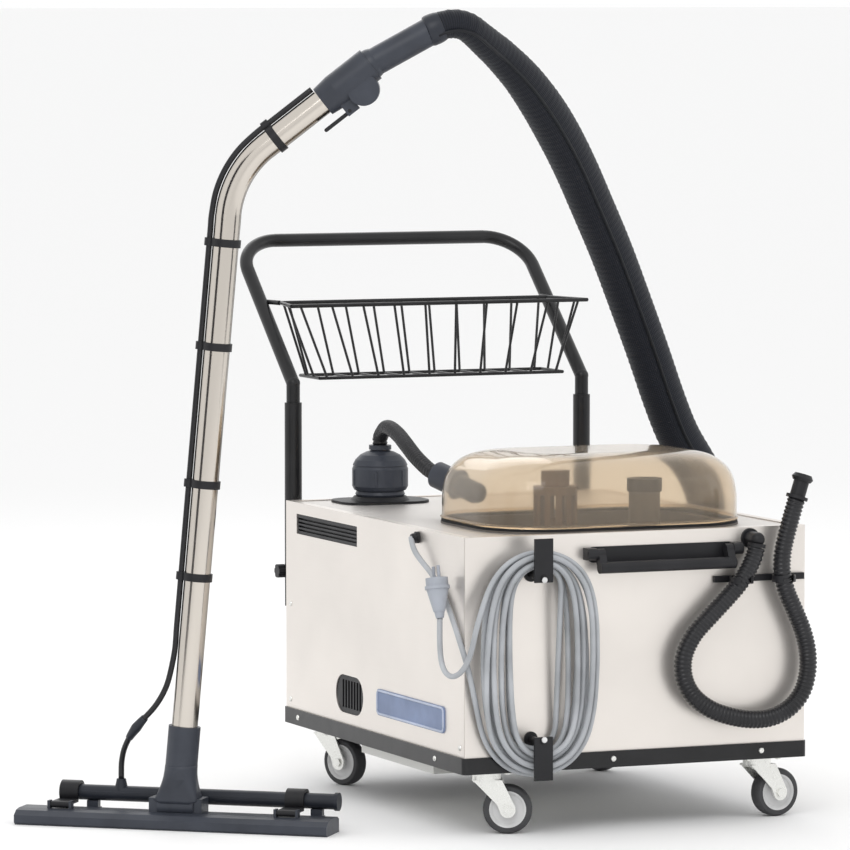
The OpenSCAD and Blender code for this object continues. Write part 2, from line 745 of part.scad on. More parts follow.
// Handle housing on the end of the tube, with a round connector block below it
trigger_pin = [36, 0, -2];
trigger_w = 22;
module wand_grip() {
    ear = [trigger_w / 2 + slip, trigger_w / 2 + slip + 3.5];
    color("#52545f") after_bend() translate([0, 0, grip_run]) {
        difference() {
            union() {
                translate([0, 0, -26]) cylinder(r1 = wand_r + 4, r2 = wand_r + 7, h = 26);
                cylinder(r = wand_r + 7, h = grip_l);
                for (s = [0, 1]) mirror([0, s, 0]) box([12, trigger_pin[0] + 6], ear, [-8, 12]);
            }
            translate([0, 0, -26 - eps]) cylinder(r = wand_r + run, h = 26 + eps);
            translate([trigger_pin[0], 0, trigger_pin[2]]) rotate([90, 0, 0])
                cylinder(r = 3 + run, h = 60, center = true);
        }
        translate([24, 0, 34]) rotate([90, 0, 0]) cylinder(r = 24, h = 46, center = true);
        translate([0, 0, grip_l - 1]) sphere(wand_r + 4);
        translate([0, 0, grip_l]) rotate([0, cuff_droop, 0]) cylinder(r = wand_r + 1.5, h = cuff_l);
    }
}

module grip_trigger() {
    color("#26262b") after_bend() translate([0, 0, grip_run]) translate(trigger_pin) {
        rotate([90, 0, 0]) cylinder(r = 3, h = trigger_w + 7, center = true);
        rotate([90, 0, 0]) cylinder(r = 5, h = trigger_w, center = true);
        translate([-2, -9, -46]) cube([6, 18, 46]);
        translate([1, 9, -46]) rotate([90, 0, 0]) cylinder(r = 3, h = 18);
    }
}

module wand_clip() difference() {
    union() {
        cylinder(r = wand_r + 3, h = 12);
        translate([-line_off, 0, 0]) cylinder(r = line_r + 3, h = 12);
    }
    translate([0, 0, -eps]) cylinder(r = wand_r + run, h = 20);
    translate([-line_off, 0, -eps]) cylinder(r = line_r + slip, h = 20);
}

module wand_clips() color("#34363f") {
    for (t = [261, 403, 613, 771]) along_wand() translate([0, 0, wand_low + t]) wand_clip();
    after_bend() translate([0, 0, 14]) wand_clip();
}

// The steam line lies along the outside of the tube, and hangs to the tool at its lower end
line_off = wand_r + line_r + 0.6;
function up_wand(x, t) = [x * cos(wand_lean) + t * sin(wand_lean), 0, t * cos(wand_lean) - x * sin(wand_lean) + tilt_z];
line_bend = [for (a = [0 : 11.75 : wand_bend])
    up_wand(bend_r - (bend_r + line_off) * cos(a), wand_low + wand_straight + (bend_r + line_off) * sin(a))];
line_end = [for (t = [30, 70, 108])
    up_wand(bend_r - (bend_r + line_off) * cos(wand_bend) + t * sin(wand_bend),
        wand_low + wand_straight + (bend_r + line_off) * sin(wand_bend) + t * cos(wand_bend))];
line_run = [for (t = [150 : 36 : wand_straight - 10]) up_wand(-line_off, wand_low + t)];
line_tail = [
    [-91, 66, 66], [-91, 66, 78], [-90, 63, 94], [-86, 56, 112], [-78, 46, 130], [-66, 34, 148],
    [-52, 22, 165], [-37, 12, 182], [-24, 4, 202], [-14, 1, 226]
];

module steam_line() color("#232227") at_wand()
    sweep(concat(line_tail, line_run, line_bend, line_end), line_r, 8);

// ---------- floor tool ----------

pin_r = 5;                          // pin of the tilt joint
barrel_r = 17;
barrel_l = 58;

module tool_neck() {
    color("#4f515b") difference() {
        union() {
            at_tool() translate([0, 0, tilt_z]) rotate([0, 90, 0])
                cylinder(r = barrel_r, h = barrel_l, center = true);
            along_wand() translate([0, 0, 10]) cylinder(r1 = 14, r2 = wand_r + 4.5, h = 32);
            along_wand() translate([0, 0, 42]) cylinder(r = wand_r + 4.5, h = 80);
        }
        along_wand() translate([0, 0, wand_low]) cylinder(r = wand_r + run, h = 60);
        at_tool() translate([0, 0, tilt_z]) rotate([0, 90, 0])
            cylinder(r = pin_r + run, h = barrel_l + 2, center = true);
    }
}

bar_at = [25, 40, 43];              // middle of the steam bar, in the tool's frame
bar_l = 440;
bar_cap_r = 14;
latch_x = [-185, 178];
latch_w = 30;
latch_pin = [-14, 30];              // y and z of a latch's pin

module floor_tool() {
    half = tool_l / 2;
    lug = barrel_l / 2 + slip;
    color("#484a54") at_tool() {
        difference() {
            translate([half, 0, 0]) rotate([0, -90, 0]) linear_extrude(tool_l)
                polygon([[0, -40], [4, -44], [15, -44], [22, -34], [24, -20], [24, 14], [20, 22], [0, 22]]);
            box([-half + 8, half - 8], [-30, 14], [-eps, 14]);
            translate([0, 0, tilt_z]) rotate([0, 90, 0]) cylinder(r = barrel_r + slip, h = 2 * lug, center = true);
        }
        for (s = [0, 1]) mirror([s, 0, 0]) box([lug, lug + 13], [-14, 20], [20, 46]);
        translate([0, 0, tilt_z]) rotate([0, 90, 0]) cylinder(r = pin_r, h = 2 * lug + 1, center = true);
        for (x = [-150, 210]) {
            box([x - 9, x + 9], [10, 52], [4, 20]);
            box([x - 9, x + 9], [34, 46], [19, bar_at[2] - 12]);
        }
        for (x = latch_x) {
            for (s = [-1, 1]) translate([x + s * (latch_w / 2 + slip + 2), 0, 0])
                box([-2, 2], [latch_pin[0] - 6, latch_pin[0] + 6], [20, latch_pin[1] + 6]);
            translate([x, latch_pin[0], latch_pin[1]]) rotate([0, 90, 0])
                cylinder(r = 2.5, h = latch_w + 4, center = true);
        }
    }
}

module steam_bar() color("#4a4d58") at_tool() {
    translate([bar_at[0] - bar_l / 2, bar_at[1], bar_at[2]]) rotate([0, 90, 0]) {
        cylinder(r = 12, h = bar_l);
        cylinder(r = bar_cap_r, h = 6);
        translate([0, 0, bar_l - 6]) cylinder(r = bar_cap_r, h = 6);
    }
    translate([-105, bar_at[1], bar_at[2]]) cylinder(r1 = 12, r2 = 7, h = 23);
}

// A latch hinges on the tool's top and hooks over the steam bar
module tool_latch(x) color("#201f22") at_tool() translate([x - latch_w / 2, 0, 0]) difference() {
    union() {
        translate([0, latch_pin[0], latch_pin[1]]) rotate([0, 90, 0]) cylinder(r = 5, h = latch_w);
        box([0, latch_w], [latch_pin[0], bar_at[1] - 13], [29, 34.5]);
        difference() {
            translate([0, bar_at[1], bar_at[2]]) rotate([0, 90, 0]) cylinder(r = bar_cap_r + 4, h = latch_w);
            box([-eps, latch_w + eps], [bar_at[1] - 4, 80], [0, 53]);
            box([-eps, latch_w + eps], [0, 80], [0, 29]);
        }
    }
    translate([-eps, bar_at[1], bar_at[2]]) rotate([0, 90, 0]) cylinder(r = bar_cap_r + slip, h = latch_w + 2);
    translate([-eps, latch_pin[0], latch_pin[1]]) rotate([0, 90, 0]) cylinder(r = 2.5 + run, h = latch_w + 2);
    // under the line from pin to bar, nothing reaches past the bar's near side as the latch turns
    difference() {
        box([-eps, latch_w + eps], [latch_pin[0] + 8, 80], [0, latch_pin[1] + 10]);
        translate([-2 * eps, latch_pin[0], latch_pin[1]]) rotate([0, 90, 0])
            cylinder(r = norm([bar_at[1] - latch_pin[0], bar_at[2] - latch_pin[1]]) - bar_cap_r - slip,
                h = latch_w + 4);
    }
}

module left_latch() tool_latch(latch_x[0]);
module right_latch() tool_latch(latch_x[1]);

on_machine() base_frame();
on_machine() bottom_pan();
on_machine() left_panel();
on_machine() right_panel();
on_machine() front_panel();
on_machine() rear_panel();
on_machine() deck();
on_machine() side_grilles();
on_machine() badge_plate();
on_machine() recovery_tank();
on_machine() tank_seal();
on_machine() standpipe();
on_machine() standpipe_cap();
on_machine() float_cage();
on_machine() mains_gland();
on_machine() mains_lead();
on_machine() mains_hank();
on_machine() mains_plug();
on_machine() lower_cable_hook();
on_machine() grip_plate();
on_machine() drain_port();
on_machine() drain_hose();
on_machine() drain_cap();
on_machine() hose_clip();
on_machine() handle_sleeves();
on_machine() caster_plates();
on_machine() boiler();
on_machine() water_pump();
on_machine() water_tank();
on_machine() vacuum_motor();
on_machine() suction_elbow();
on_machine() canister_base();
on_machine() upper_cable_hook();
on_machine() front_grip();
on_machine() push_handle();
on_machine() clamp_knob();
on_machine() basket();
on_machine() dome();
on_machine() dome_port();
on_machine() bridge_hose();
on_machine() canister();
on_machine() caster_fork(front_left);  // front_left_fork
on_machine() caster_fork(front_right);  // front_right_fork
on_machine() caster_fork(rear_left);  // rear_left_fork
on_machine() caster_fork(rear_right);  // rear_right_fork
on_machine() caster_wheel(front_left);  // front_left_wheel
on_machine() caster_wheel(front_right);  // front_right_wheel
on_machine() caster_wheel(rear_left);  // rear_left_wheel
on_machine() caster_wheel(rear_right);  // rear_right_wheel
wand_tube();
wand_grip();
grip_trigger();
on_machine() main_hose();
steam_line();
wand_clips();
tool_neck();
floor_tool();
steam_bar();
left_latch();
right_latch();
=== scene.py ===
"""A steam cleaner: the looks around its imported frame. Lengths are millimetres in the machine's own
frame until a helper turns them into metres in the row frame."""

import json
import math

import bpy
from mathutils import Matrix, Vector


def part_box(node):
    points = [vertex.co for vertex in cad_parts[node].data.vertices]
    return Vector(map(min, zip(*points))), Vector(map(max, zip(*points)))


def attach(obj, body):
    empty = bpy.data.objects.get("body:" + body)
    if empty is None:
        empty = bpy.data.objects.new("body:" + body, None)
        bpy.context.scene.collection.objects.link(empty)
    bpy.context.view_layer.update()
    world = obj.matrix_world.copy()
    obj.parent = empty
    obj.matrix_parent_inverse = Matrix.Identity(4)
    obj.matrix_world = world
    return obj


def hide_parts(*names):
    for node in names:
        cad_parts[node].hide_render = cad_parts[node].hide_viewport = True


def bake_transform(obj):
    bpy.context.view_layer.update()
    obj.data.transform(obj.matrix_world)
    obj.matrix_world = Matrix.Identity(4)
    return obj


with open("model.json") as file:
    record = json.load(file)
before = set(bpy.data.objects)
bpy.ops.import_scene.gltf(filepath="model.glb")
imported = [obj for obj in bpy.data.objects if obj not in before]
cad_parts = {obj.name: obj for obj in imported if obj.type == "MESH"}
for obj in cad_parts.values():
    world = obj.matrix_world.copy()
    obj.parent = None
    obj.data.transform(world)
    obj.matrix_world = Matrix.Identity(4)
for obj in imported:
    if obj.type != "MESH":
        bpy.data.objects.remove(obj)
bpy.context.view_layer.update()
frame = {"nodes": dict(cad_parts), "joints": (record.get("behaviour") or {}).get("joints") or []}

MM = 0.001
NODES = frame["nodes"]
CORNERS = ("front_left", "front_right", "rear_left", "rear_right")

# The machine's own origin is the middle of its base; the wand stands to its left.
LOW, HIGH = (Vector(c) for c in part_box("base_frame"))
MACHINE = Vector(((LOW.x + HIGH.x) / 2, (LOW.y + HIGH.y) / 2, 0))
WAND_AT = Vector((-635, -69, 0))
WAND_TURN = math.radians(-24.3)
TOOL_TURN = math.radians(-15)


def at(x, y, z):
    """A point in the machine's frame."""
    return MACHINE + Vector((x, y, z)) * MM


WAND = Matrix.Translation(at(*WAND_AT)) @ Matrix.Rotation(WAND_TURN, 4, "Z")
TOOL = WAND @ Matrix.Rotation(TOOL_TURN, 4, "Z")


def at_wand(x, y, z):
    return WAND @ (Vector((x, y, z)) * MM)


def at_tool(x, y, z):
    return TOOL @ (Vector((x, y, z)) * MM)


# ---------- routes, the same as the CAD's ----------

MAIN_ROUTE = [
    (328, 60, 430), (327, 60, 446), (320, 61, 476), (304, 63, 512), (273, 66, 564), (247, 64, 621),
    (213, 56, 702), (173, 38, 783), (126, 8, 865), (74, -30, 941), (34, -60, 997), (-7, -90, 1048),
    (-52, -122, 1096), (-99, -152, 1139), (-147, -180, 1174), (-171, -196, 1188), (-194, -212, 1201),
    (-217, -227, 1214), (-231, -233, 1220), (-248, -235, 1223), (-265, -234, 1221), (-278, -230, 1215.5),
]
BRIDGE_ROUTE = [
    (-171, 17, 520), (-177, 35, 527), (-182, 70, 543), (-180, 110, 558), (-174, 155, 570),
    (-166, 205, 577), (-158, 245, 576), (-152, 274, 567), (-150, 290, 556), (-150, 290, 545.3),
]
DRAIN_ROUTE = [
    (188, -388, 426), (184, -388, 412), (174, -388, 392), (158, -388, 370), (136, -387, 347),
    (110, -386, 322), (84, -385, 295), (68, -385, 264), (68, -385, 232), (82, -386, 204),
    (108, -388, 183), (140, -390, 170), (176, -391, 163), (212, -391, 164), (244, -390, 177),
    (266, -389, 200), (276, -388, 230), (276, -388, 262), (268, -388, 294), (254, -388, 326),
    (240, -388, 356), (232, -388, 386), (233, -388, 416), (240, -388, 446), (249, -388, 476),
    (256, -388, 498),
]
LEAD_ROUTE = [
    (-297, -183, 441), (-301, -187, 436), (-301, -199, 424), (-297, -218, 410), (-292, -242, 396),
    (-290, -268, 380), (-290, -294, 361), (-290, -318, 338), (-290, -340, 314), (-290, -356, 294),
    (-288, -368, 275), (-284, -373, 256),
]
TAIL_ROUTE = [
    (-284, -394, 312), (-287, -394, 290), (-293, -389, 268), (-299, -378, 251), (-305, -362, 243),
    (-309, -345, 245), (-311, -333, 257), (-311, -327, 276), (-311, -325, 298), (-311, -325.5, 318),
    (-311, -326, 332),
]
LINE_TAIL = [
    (-91, 66, 66), (-91, 66, 78), (-90, 63, 94), (-86, 56, 112), (-78, 46, 130), (-66, 34, 148),
    (-52, 22, 165), (-37, 12, 182), (-24, 4, 202), (-14, 1, 226),
]

TILT_Z = 34
WAND_LEAN = math.radians(5)
WAND_BEND = math.radians(47)
WAND_LOW = 84
WAND_STRAIGHT = 818
BEND_R = 150
LINE_OFF = 25.1
LINE_R = 4.5
CABLE_R = 4.25
EASE_STEP, EASE_PASSES = 0.005, 16  # metres between points, and how many times each is averaged


def up_wand(x, t):
    """A point beside the wand tube, t along it from the tilt axis."""
    return (
        x * math.cos(WAND_LEAN) + t * math.sin(WAND_LEAN),
        0,
        t * math.cos(WAND_LEAN) - x * math.sin(WAND_LEAN) + TILT_Z,
    )


def line_points():
    """The steam line: its loose tail, its run along the tube, and round the bend."""
    top = WAND_LOW + WAND_STRAIGHT
    out = BEND_R + LINE_OFF
    points = list(LINE_TAIL)
    points += [up_wand(-LINE_OFF, WAND_LOW + t) for t in range(150, WAND_STRAIGHT - 10, 36)]
    for i in range(5):
        a = math.radians(11.75 * i)
        points.append(up_wand(BEND_R - out * math.cos(a), top + out * math.sin(a)))
    for t in (30, 70, 108):
        x = BEND_R - out * math.cos(WAND_BEND) + t * math.sin(WAND_BEND)
        points.append(up_wand(x, top + out * math.sin(WAND_BEND) + t * math.cos(WAND_BEND)))
    return [at_wand(*p) for p in points]


def smooth(points, step):
    """A Catmull-Rom curve through the points, in even steps of about that length."""
    p = [points[0] * 2 - points[1]] + list(points) + [points[-1] * 2 - points[-2]]
    dense = []
    for i in range(1, len(p) - 2):
        a, b, c, d = p[i - 1 : i + 3]
        n = max(2, int((c - b).length / step) * 2)
        for k in range(n):
            t = k / n
            dense.append(
                0.5
                * (2 * b + (c - a) * t + (2 * a - 5 * b + 4 * c - d) * t**2 + (3 * b - a - 3 * c + d) * t**3)
            )
    dense.append(points[-1])
    return even(dense, step)


def even(dense, step):
    """The same line, with points evenly spaced along it."""
    total = length_of(dense)
    n = max(2, round(total / step))
    out, walked, i = [dense[0]], 0.0, 0
    for k in range(1, n):
        want = total * k / n
        while walked + (dense[i + 1] - dense[i]).length < want:
            walked += (dense[i + 1] - dense[i]).length
            i += 1
        seg = dense[i + 1] - dense[i]
        out.append(dense[i] + seg * ((want - walked) / seg.length))
    return out + [dense[-1]]


def eased(points, step, passes):
    """The same line with its tight bends let out."""
    line = smooth(even(points, 4 * step), step)
    for _ in range(passes):
        line = [line[0]] + [(a + 2 * b + c) / 4 for a, b, c in zip(line, line[1:], line[2:])] + [line[-1]]
    return line


def length_of(points):
    return sum((b - a).length for a, b in zip(points, points[1:]))


# ---------- meshes ----------


def piece(name, verts, faces, material, body=None, uvs=None, flat=False):
    """A new mesh object, riding on a body if one is given."""
    mesh = bpy.data.meshes.new(name)
    mesh.from_pydata([tuple(v) for v in verts], [], faces)
    mesh.validate()
    if uvs:
        layer = mesh.uv_layers.new(name="uv")
        for loop in mesh.loops:
            layer.data[loop.index].uv = uvs[loop.vertex_index]
    for polygon in mesh.polygons:
        polygon.use_smooth = not flat
    obj = bpy.data.objects.new(name, mesh)
    bpy.context.scene.collection.objects.link(obj)
    mesh.materials.append(material)
    if body:
        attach(obj, body)
    return obj


def frames(points):
    """A tangent and a side direction at each point, with no twist between them."""
    side = Vector((0.13, 0.31, 0.94))
    out = []
    for i in range(len(points)):
        t = (points[min(i + 1, len(points) - 1)] - points[max(i - 1, 0)]).normalized()
        side = (side - side.dot(t) * t).normalized()
        out.append((t, side, t.cross(side)))
    return out


def tube(points, radius, sides):
    """Vertices, faces and UVs of a tube. radius(u, along) is its radius at u of the way along."""
    verts, faces, uvs = [], [], []
    along, total = 0.0, length_of(points)
    for i, (p, (_, m, n)) in enumerate(zip(points, frames(points))):
        if i:
            along += (p - points[i - 1]).length
        r = radius(along / total, along)
        for k in range(sides):
            a = 2 * math.pi * k / sides
            verts.append(p + r * (math.cos(a) * m + math.sin(a) * n))
            uvs.append((k / sides, along))
    for i in range(len(points) - 1):
        for k in range(sides):
            a, b = i * sides + k, i * sides + (k + 1) % sides
            faces.append((a, b, b + sides, a + sides))
    faces.append(tuple(reversed(range(sides))))
    faces.append(tuple(range((len(points) - 1) * sides, len(points) * sides)))
    return verts, faces, uvs


def tube_piece(name, points, radius, sides, material, body=None):
    verts, faces, uvs = tube(points, radius, sides)
    return piece(name, verts, faces, material, body, uvs)


def lathe(name, profile, place, material, body, sides=48):
    """A shape turned about the local Z of a matrix. profile is a list of (radius, height)."""
    verts, faces = [], []
    n = len(profile)
    for k in range(sides):
        a = 2 * math.pi * k / sides
        for r, h in profile:
            verts.append(place @ Vector((r * math.cos(a) * MM, r * math.sin(a) * MM, h * MM)))
    for k in range(sides):
        for i in range(n - 1):
            a, b = k * n + i, ((k + 1) % sides) * n + i
            faces.append((a, b, b + 1, a + 1))
    obj = piece(name, verts, faces, material, body)
    crease(obj)
    return obj


def crease(obj, angle=32):
    """Sharp edges stay sharp, and the rest shades smoothly."""
    obj.data.set_sharp_from_angle(angle=math.radians(angle))


def rod_mesh(verts, faces, a, b, r, sides=10):
    """Adds a straight rod with closed ends to a mesh in the making."""
    t = (b - a).normalized()
    m = t.orthogonal().normalized()
    n = t.cross(m)
    start = len(verts)
    for p in (a, b):
        for k in range(sides):
            w = 2 * math.pi * k / sides
            verts.append(p + r * (math.cos(w) * m + math.sin(w) * n))
    for k in range(sides):
        k2 = (k + 1) % sides
        faces.append((start + k, start + k2, start + sides + k2, start + sides + k))
    faces.append(tuple(start + k for k in reversed(range(sides))))
    faces.append(tuple(start + sides + k for k in range(sides)))


def rounded_rect(w, d, r, per_corner):
    """Points round a rectangle with round corners, about its middle."""
    out = []
    for cx, cy, start in ((1, 1, 0), (-1, 1, 90), (-1, -1, 180), (1, -1, 270)):
        for k in range(per_corner + 1):
            a = math.radians(start + 90 * k / per_corner)
            out.append((cx * (w / 2 - r) + r * math.cos(a), cy * (d / 2 - r) + r * math.sin(a)))
    return out


def loft(name, rings, material, body, cap=True):
    """A skin over closed rings of equal length, the last one closed by a fan."""
    n = len(rings[0])
    verts = [v for ring in rings for v in ring]
    faces = []
    for i in range(len(rings) - 1):
        for k in range(n):
            a, b = i * n + k, i * n + (k + 1) % n
            faces.append((a, b, b + n, a + n))
    if cap:
        middle = sum(rings[-1], Vector()) / n
        verts.append(middle)
        last = (len(rings) - 1) * n
        faces += [(last + k, last + (k + 1) % n, len(verts) - 1) for k in range(n)]
    return piece(name, verts, faces, material, body)


# ---------- materials ----------


class Shader:
    """A Principled material whose colour, roughness and bump come from nodes."""

    def __init__(self, name, color, rough, metallic=0.0, **sockets):
        self.material = bpy.data.materials.new(name)
        self.material.use_nodes = True
        self.tree = self.material.node_tree
        self.bsdf = self.tree.nodes["Principled BSDF"]
        self.color, self.rough = color, rough
        self.bsdf.inputs["Base Color"].default_value = (*color, 1)
        self.bsdf.inputs["Roughness"].default_value = rough
        self.bsdf.inputs["Metallic"].default_value = metallic
        for key, value in sockets.items():
            self.bsdf.inputs[key.replace("_", " ")].default_value = value
        self.normal = None

    def node(self, kind, **values):
        node = self.tree.nodes.new(kind)
        for key, value in values.items():
            if hasattr(node, key):
                setattr(node, key, value)
            else:
                node.inputs[key.replace("_", " ")].default_value = value
        return node

    def link(self, a, b):
        self.tree.links.new(a, b)

    def coords(self, stretch=(1, 1, 1), uv=False):
        source = self.node("ShaderNodeTexCoord")
        mapping = self.node("ShaderNodeMapping")
        mapping.inputs["Scale"].default_value = stretch
        self.link(source.outputs["UV" if uv else "Object"], mapping.inputs["Vector"])
        return mapping.outputs["Vector"]

    def noise(self, scale, stretch=(1, 1, 1), detail=3.0):
        node = self.node("ShaderNodeTexNoise", Scale=scale, Detail=detail)
        self.link(self.coords(stretch), node.inputs["Vector"])
        return node.outputs["Fac"]

    def vary_color(self, fac, dark, light):
        """The colour runs between two multiples of the base colour."""
        ramp = self.node("ShaderNodeValToRGB")
        ramp.color_ramp.elements[0].position = 0.3
        ramp.color_ramp.elements[1].position = 0.7
        ramp.color_ramp.elements[0].color = (*[c * dark for c in self.color], 1)
        ramp.color_ramp.elements[1].color = (*[min(1, c * light) for c in self.color], 1)
        self.link(fac, ramp.inputs["Fac"])
        self.link(ramp.outputs["Color"], self.bsdf.inputs["Base Color"])
        return self

    def vary_rough(self, fac, low, high):
        span = self.node("ShaderNodeMapRange")
        span.inputs["To Min"].default_value = low
        span.inputs["To Max"].default_value = high
        self.link(fac, span.inputs["Value"])
        self.link(span.outputs["Result"], self.bsdf.inputs["Roughness"])
        return self

    def bump(self, fac, strength, depth):
        node = self.node("ShaderNodeBump", Strength=strength, Distance=depth)
        self.link(fac, node.inputs["Height"])
        if self.normal:
            self.link(self.normal, node.inputs["Normal"])
        self.normal = node.outputs["Normal"]
        self.link(self.normal, self.bsdf.inputs["Normal"])
        return self


def steel(name, color, rough, stretch):
    """Brushed sheet: fine scratches in one direction and a soft cloud of wear."""
    s = Shader(name, color, rough, metallic=0.82)
    grain = s.noise(900, stretch, 4)
    s.vary_rough(grain, rough - 0.07, rough + 0.09)
    s.vary_color(s.noise(5), 0.95, 1.04)
    return s.bump(grain, 0.12, 0.0003).material


def plastic(name, color, rough=0.42, grain=1400):
    """Moulded plastic with a fine spark texture and slight patches."""
    s = Shader(name, color, rough, Specular_IOR_Level=0.3)
    s.vary_color(s.noise(14), 0.82, 1.22)
    s.vary_rough(s.noise(30), rough - 0.07, rough + 0.1)
    return s.bump(s.noise(grain), 0.22, 0.0004).material


def painted(name, color, rough=0.3):
    s = Shader(name, color, rough, Specular_IOR_Level=0.3, Coat_Weight=0.12, Coat_Roughness=0.12)
    s.vary_color(s.noise(20), 0.75, 1.3)
    s.vary_rough(s.noise(40), rough - 0.06, rough + 0.12)
    return s.bump(s.noise(700), 0.1, 0.0003).material


def chrome_painted_edge_reflection(name, color, rough):
    """Bright tube with a painted dark reflection: its colour is painted dark where it turns away from the eye."""
    s = Shader(name, color, rough, metallic=1.0)
    # painted reflection: the base colour runs from the tube's own colour, facing the eye, to a dark copy of it at
    # the edges
    facing = s.node("ShaderNodeLayerWeight", Blend=0.42)
    ramp = s.node("ShaderNodeValToRGB")
    ramp.color_ramp.elements[0].position = 0.35
    ramp.color_ramp.elements[1].position = 0.8
    ramp.color_ramp.elements[0].color = (*color, 1)
    ramp.color_ramp.elements[1].color = (*[c * 0.13 for c in color], 1)
    s.link(facing.outputs["Facing"], ramp.inputs["Fac"])
    s.link(ramp.outputs["Color"], s.bsdf.inputs["Base Color"])
    s.vary_rough(s.noise(60, (1, 1, 0.1)), rough - 0.03, rough + 0.05)
    return s.bump(s.noise(500, (1, 1, 0.05)), 0.04, 0.0002).material


def woven(name, color, rough=0.5):
    """A sleeve of crossed threads, laid out on the tube's own UVs."""
    s = Shader(name, color, rough, Specular_IOR_Level=0.25, Sheen_Weight=0.03, Sheen_Roughness=0.5)
    over = s.node("ShaderNodeTexWave", Scale=1.0, Distortion=0.0)
    across = s.node("ShaderNodeTexWave", Scale=1.0, Distortion=0.0)
    s.link(s.coords((22, 110, 1), uv=True), over.inputs["Vector"])
    across.bands_direction = "Y"
    s.link(s.coords((22, 110, 1), uv=True), across.inputs["Vector"])
    mix = s.node("ShaderNodeMath", operation="MULTIPLY")
    s.link(over.outputs["Fac"], mix.inputs[0])
    s.link(across.outputs["Fac"], mix.inputs[1])
    s.vary_color(mix.outputs["Value"], 0.6, 1.9)
    return s.bump(mix.outputs["Value"], 0.6, 0.0012).material


def clear(name, color):
    s = Shader(name, color, 0.06, Transmission_Weight=0.92, IOR=1.3)
    s.vary_rough(s.noise(9), 0.04, 0.11)
    return s.bump(s.noise(6), 0.05, 0.002).material


STEEL = steel("brushed_steel", (0.80, 0.755, 0.71), 0.34, (0.02, 0.02, 1))
DECK = steel("deck_steel", (0.68, 0.65, 0.62), 0.42, (0.02, 1, 1))
GALVANISED = steel("galvanised", (0.60, 0.60, 0.58), 0.5, (1, 1, 1))
ZINC = steel("zinc_plate", (0.80, 0.80, 0.77), 0.28, (1, 1, 0.3))
# the wand's chrome carries a painted dark reflection along its edges
CHROME = chrome_painted_edge_reflection("wand_chrome", (0.62, 0.575, 0.52), 0.13)
BLACK = painted("black_paint", (0.010, 0.010, 0.011))
BLACK_PLASTIC = plastic("black_plastic", (0.013, 0.013, 0.015))
SLATE = plastic("slate_plastic", (0.040, 0.045, 0.058), 0.36)
SLATE_DARK = plastic("dark_slate", (0.020, 0.023, 0.031), 0.38)
BADGE = plastic("badge_plastic", (0.20, 0.26, 0.42), 0.35, 900)
BADGE_RIM = plastic("badge_rim", (0.52, 0.58, 0.72), 0.32, 900)
TANK = plastic("tank_plastic", (0.10, 0.088, 0.078), 0.5)
BROWN = plastic("brown_plastic", (0.13, 0.072, 0.036), 0.5)
AMBER = clear("amber_clear", (0.90, 0.80, 0.67))
RUBBER = plastic("seal_rubber", (0.010, 0.010, 0.011), 0.7, 800)
TYRE = plastic("tyre_rubber", (0.055, 0.055, 0.058), 0.62, 700)
HUB = plastic("hub_plastic", (0.62, 0.62, 0.62), 0.35, 900)
SLEEVE = woven("hose_sleeve", (0.0065, 0.0085, 0.015))
PIPING = plastic("hose_piping", (0.006, 0.007, 0.010), 0.5)
RIBBED = plastic("ribbed_hose", (0.018, 0.018, 0.020), 0.22, 600)
CABLE = plastic("mains_cable", (0.37, 0.385, 0.405), 0.40, 900)
PLUG = plastic("plug_plastic", (0.32, 0.34, 0.38), 0.42, 900)
WHITE_TANK = plastic("tank_white", (0.74, 0.76, 0.74), 0.4)
MOTOR = painted("motor_grey", (0.22, 0.23, 0.25), 0.4)
LIP = plastic("tool_lip", (0.012, 0.012, 0.012), 0.75, 500)

FINISH = {
    STEEL: ("left_panel", "right_panel", "front_panel", "rear_panel"),
    DECK: ("deck",),
    GALVANISED: ("bottom_pan",),
    ZINC: ("caster_plates", "boiler", *[c + "_fork" for c in CORNERS]),
    CHROME: ("wand_tube",),
    BLACK: ("base_frame", "handle_sleeves", "push_handle"),
    BLACK_PLASTIC: (
        # grip_plate's black is partly its own black plastic lugs and partly painted shade: it stands for the
        # shaded recess above the grip's bar
        "side_grilles", "lower_cable_hook", "upper_cable_hook", "grip_plate", "front_grip", "drain_port",
        "drain_cap", "hose_clip", "clamp_knob", "canister_base", "mains_gland", "grip_trigger",
        "left_latch", "right_latch", "standpipe_cap", "wand_clips",
    ),
    SLATE: ("canister", "dome_port", "wand_grip", "tool_neck", "floor_tool", "suction_elbow"),
    SLATE_DARK: ("steam_bar",),
    BADGE: ("badge_plate",),
    TANK: ("recovery_tank", "standpipe"),
    BROWN: ("float_cage",),
    RUBBER: ("tank_seal",),
    PLUG: ("mains_plug",),
    WHITE_TANK: ("water_tank",),
    MOTOR: ("vacuum_motor", "water_pump"),
}


def finish_cad_nodes():
    for material, names in FINISH.items():
        for name in names:
            mesh = NODES[name].data
            mesh.materials.clear()
            mesh.materials.append(material)


# ---------- camera and light ----------


CAMERA_AWAY = 9.4385  # metres from the body's middle
LENS = 254.1


def add_camera():
    """A long lens, a little above the deck, looking past the front left corner."""
    azimuth, elevation = math.radians(-24.27), math.radians(5.36)
    back = Vector((math.sin(azimuth) * math.cos(elevation), -math.cos(azimuth) * math.cos(elevation),
                   math.sin(elevation)))
    right = Vector((math.cos(azimuth), math.sin(azimuth), 0))
    pivot = at(0, 0, 400)
    place = pivot + back * CAMERA_AWAY
    aim = pivot - right * 0.18 + Vector((0, 0, 0.192))
    data = bpy.data.cameras.new("camera")
    data.lens = LENS
    data.sensor_width = 36
    data.clip_end = 400
    camera = bpy.data.objects.new("camera", data)
    camera.location = place
    camera.rotation_euler = (aim - place).to_track_quat("-Z", "Y").to_euler()
    bpy.context.scene.collection.objects.link(camera)
    bpy.context.scene.camera = camera


